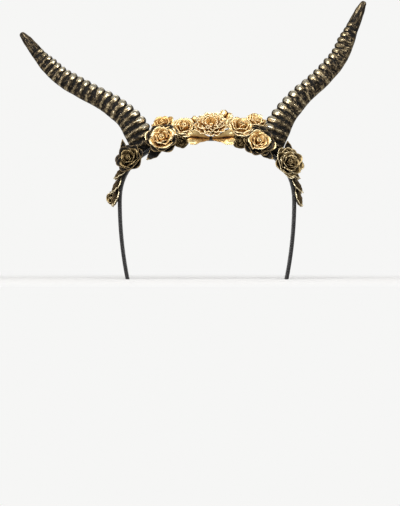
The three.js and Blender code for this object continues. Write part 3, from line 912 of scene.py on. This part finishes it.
for seed, (name, row) in enumerate(FLOWERS.items()):
    x, y, nod, stem, radius, cup, kind, paint = row
    point, out = crown_at(x)
    nod = math.radians(nod)
    axis = out * math.cos(nod) + FRONT * math.sin(nod)
    place = point + axis * stem * MM - FRONT * y * MM
    seat = Matrix.Translation(place) @ UP.rotation_difference(axis).to_matrix().to_4x4()
    if cup:
        node = name.replace("rose", "cup")
        cup_paint = "antique" if name == "rose_right_side" else "black"
        flower = make_flower("cup", cup, stem, seat, seed + CUP_SEEDS)
        settle(flower, f"{node}_petals", PAINTS[cup_paint], cup_paint, node)
    stray, fold_shade_shift = STRAY_PETALS.get(name), FOLD_SHADE_SHIFTS.get(name, 0)
    flower = make_flower(kind, radius, 0 if cup else stem, seat, seed, stray, fold_shade_shift)
    settle(flower, f"{name}_petals", PAINTS[paint], paint, name)
for pattern in (*petals.values(), heart):
    bpy.data.objects.remove(pattern)


# Leaves: half of one is drawn flat along +X, shaped row by row, and mirrored.
LEAF_ROWS, LEAF_COLUMNS, VEIN_EVERY = 20, 6, 4


def leaf_lip(veins, co):
    """Pointed leaves are rubbed bright along their edges. Broad ones are paler all over but for the fold,
    whose dark is painted shade in the crease; their paler lobes are partly rubbed paint and partly a painted
    highlight.
    """
    if veins == "feather":
        return max(0.3 + 0.25 * co.x, co.y**4, smooth(0.6, 1.0, co.x))
    return smooth(0.0, 0.45, -co.y) * (0.6 + 0.5 * co.x) - 0.15


def on_side_vein(co):
    """Whether a place lies on a side vein, which runs from the middle towards the tip."""
    return -0.95 < co.y < -0.05 and round(co.x * LEAF_ROWS + co.y * LEAF_COLUMNS) % VEIN_EVERY == 0


def make_leaf(outline, veins, crease):
    piece = begin(
        bpy.ops.mesh.primitive_grid_add,
        "leaf",
        x_subdivisions=LEAF_ROWS,
        y_subdivisions=LEAF_COLUMNS,
        size=1,
        location=(0.5, -0.5, 0),
    )
    put_down()
    take_up(piece)
    note(piece, "lip", [leaf_lip(veins, vert.co) for vert in piece.data.vertices])
    bpy.ops.object.mode_set(mode="EDIT")
    if veins == "feather":
        pick(piece, on_side_vein)
        bpy.ops.transform.translate(value=(0, 0, -0.05))
    else:
        # Soft waves along the broad end.
        for across, step in ((-0.35, (0.05, 0, 0.1)), (-0.7, (-0.05, 0, -0.08)), (-1, (0.02, 0, 0.12))):
            pick(piece, lambda co: co.x > 0.99 and abs(co.y - across) < 0.1)
            pull(step, 0.4)
    turn = math.radians(crease)
    for i in range(LEAF_ROWS + 1):
        share = i / LEAF_ROWS
        width, curl = eased(outline, 1, share), eased(outline, 2, share)
        pick(piece, lambda co: abs(co.x - share) < 0.5 / LEAF_ROWS)
        bpy.ops.transform.resize(value=(1, width / 2, 1), center_override=(0, 0, 0))
        bpy.ops.transform.rotate(value=turn, orient_axis="X", center_override=(0, 0, 0))
        bpy.ops.transform.translate(value=(0, 0, curl * LEAF_ASPECT))
    put_down()
    finish_with(piece, "MIRROR", use_axis=(False, True, False), merge_threshold=0.001)
    return piece


def lay_leaf(pattern, name, foot, tip, face, length, width, paint):
    """A leaf of a size with its foot at a place, its tip along a direction and its face towards another."""
    across = face.cross(tip).normalized()
    normal = tip.cross(across)
    leaf = copy_of(pattern)
    turn = Matrix((tip, across, normal)).transposed().to_4x4()
    size = Matrix.Diagonal((length * MM, width * MM, width * MM, 1))
    leaf.matrix_world = Matrix.Translation(foot) @ turn @ size
    take_up(leaf)
    bpy.ops.object.transform_apply(location=True, rotation=True, scale=True)
    roughen(leaf, *LEAF_UNEVEN)
    finish_with(leaf, "SOLIDIFY", thickness=LEAF_WALL * MM, offset=1)
    subdivide_smoothly(leaf)
    settle(leaf, f"{name}_blade", PAINTS[paint], paint, name)


fan_leaf = make_leaf(FAN_LEAF, "waves", FAN_CREASE)
pointed_leaf = make_leaf(POINTED_LEAF, "feather", LEAF_CREASE)
for leaves, pattern, paint in ((FAN_LEAVES, fan_leaf, "gold"), (POINTED_LEAVES, pointed_leaf, "black")):
    for name, (foot, bearing, lean, length, width) in leaves.items():
        bearing, lean = math.radians(bearing), math.radians(lean)
        tip = Vector((math.cos(bearing), 0, math.sin(bearing))) * math.cos(lean) + FRONT * math.sin(lean)
        lay_leaf(pattern, name, Vector(foot) * MM, tip, FRONT, length, width, paint)
turn, swing, rise = (math.radians(angle) for angle in (SIDE_LEAF_TURN, SIDE_LEAF_SWING, SIDE_LEAF_RISE))
for side, side_name in ((-1, "left"), (1, "right")):
    for level, height in enumerate(SIDE_LEAF_HEIGHTS):
        for forward, forward_name in ((1, "fore"), (-1, "aft")):
            point, out = side_at(side, height)
            edge = FRONT * forward
            face = out * math.cos(turn) + edge * math.sin(turn)
            across = edge * math.cos(turn) - out * math.sin(turn)
            tip = Vector((out.z * side, 0, -out.x * side)) * math.cos(swing) + across * math.sin(swing)
            tip = tip * math.cos(rise) + face * math.sin(rise)
            foot = point + (out * SIDE_LEAF_LIFT + edge * SIDE_LEAF_APART) * MM
            name = f"leaf_{side_name}_{forward_name}_{level + 1}"
            lay_leaf(pointed_leaf, name, foot, tip, face, *SIDE_LEAF_SIZE, "antique")
for pattern in (fan_leaf, pointed_leaf):
    bpy.data.objects.remove(pattern)

# The studio: a pale floor, soft lamps, and a camera level with the middle of the photograph.
paper, tree = new_paint("pale_backdrop_paper")
# Paper near the object takes its shadow, and fades farther out into the white of the wall.
place = add(tree, "ShaderNodeTexCoord")
far = add(tree, "ShaderNodeVectorMath", {"operation": "LENGTH"}, {0: place.outputs["Object"]})
fade = add(
    tree,
    "ShaderNodeMapRange",
    {"interpolation_type": "SMOOTHSTEP"},
    {"Value": far.outputs["Value"], "From Min": 0.15, "From Max": 0.5, "To Min": 0.0, "To Max": 1.0},
)
fibres = add(tree, "ShaderNodeTexNoise", inputs={"Scale": per_mm(40), "Detail": 2.0})
tone = add(
    tree,
    "ShaderNodeValToRGB",
    {"stops": ((0.3, "#b9b8b6"), (0.7, "#bfbebc"))},
    {"Fac": fibres.outputs[0]},
)
lit = add(
    tree,
    "ShaderNodeBsdfPrincipled",
    inputs={
        "Base Color": tone.outputs[0],
        "Roughness": 0.9,
        "Emission Color": linear("#ffffff"),
        "Emission Strength": 0.3,
    },
)
white = add(tree, "ShaderNodeEmission", inputs={"Color": linear("#f6f6f5")})
shader = add(tree, "ShaderNodeMixShader", inputs={0: fade.outputs[0], 1: lit.outputs[0], 2: white.outputs[0]})
add(tree, "ShaderNodeOutputMaterial", inputs={"Surface": shader.outputs[0]})
put_down()
bpy.ops.mesh.primitive_plane_add(size=60)
floor = bpy.context.object
floor.name = "floor"
floor.data.materials.append(paper)
# The floor is seen and takes shadows, and throws no light up at the paint.
floor.visible_diffuse = floor.visible_glossy = floor.visible_shadow = False

world = bpy.data.worlds.new("studio")
bpy.context.scene.world = world
world.use_nodes = True
tree = world.node_tree
tree.nodes.clear()
# The camera sees a white studio wall; what the paint reflects is a dimmer room.
ray = add(tree, "ShaderNodeLightPath")
wall = add(tree, "ShaderNodeBackground", inputs={"Color": linear("#f6f6f5"), "Strength": 1.0})
way = add(tree, "ShaderNodeTexCoord")
height = add(tree, "ShaderNodeSeparateXYZ", inputs={0: way.outputs["Generated"]})
bounce = spread(tree, height.outputs["Z"], (-0.5, 0.0), (0.7, 0.12))
room = add(tree, "ShaderNodeBackground", inputs={"Color": linear("#e4e2de"), "Strength": bounce})
seen = add(
    tree,
    "ShaderNodeMixShader",
    inputs={0: ray.outputs["Is Camera Ray"], 1: room.outputs[0], 2: wall.outputs[0]},
)
add(tree, "ShaderNodeOutputWorld", inputs={"Surface": seen.outputs[0]})

# The lamps: name, place and size in metres, and power in watts. They are aimed at the garland.
LAMP_AIM = Vector((0, 0, 0.13))
LAMPS = (
    ("overhead", (-0.2, -1.2, 1.5), 1.2, 32),
    ("left", (-1.3, -0.9, 0.5), 0.6, 18),
    ("right", (1.4, -0.7, 0.7), 0.6, 13),
    ("behind", (0.2, 1.6, 1.0), 0.9, 6),
)
for name, place, size, power in LAMPS:
    lamp = bpy.data.objects.new(name, bpy.data.lights.new(name, "AREA"))
    lamp.data.size, lamp.data.energy = size, power
    lamp.location = place
    lamp.rotation_euler = (LAMP_AIM - Vector(place)).to_track_quat("-Z", "Y").to_euler()
    bpy.context.scene.collection.objects.link(lamp)

CAMERA_LENS = 158.1
CAMERA_PLACE = Vector((-6.3, -2000, 23.6))  # from the foot of the band's middle
camera = bpy.data.objects.new("camera", bpy.data.cameras.new("camera"))
camera.data.lens = CAMERA_LENS
camera.location = MIDDLE + CAMERA_PLACE * MM
camera.rotation_euler = (math.pi / 2, 0, 0)
bpy.context.scene.collection.objects.link(camera)
bpy.context.scene.camera = camera
bpy.context.scene.view_settings.view_transform = "Standard"
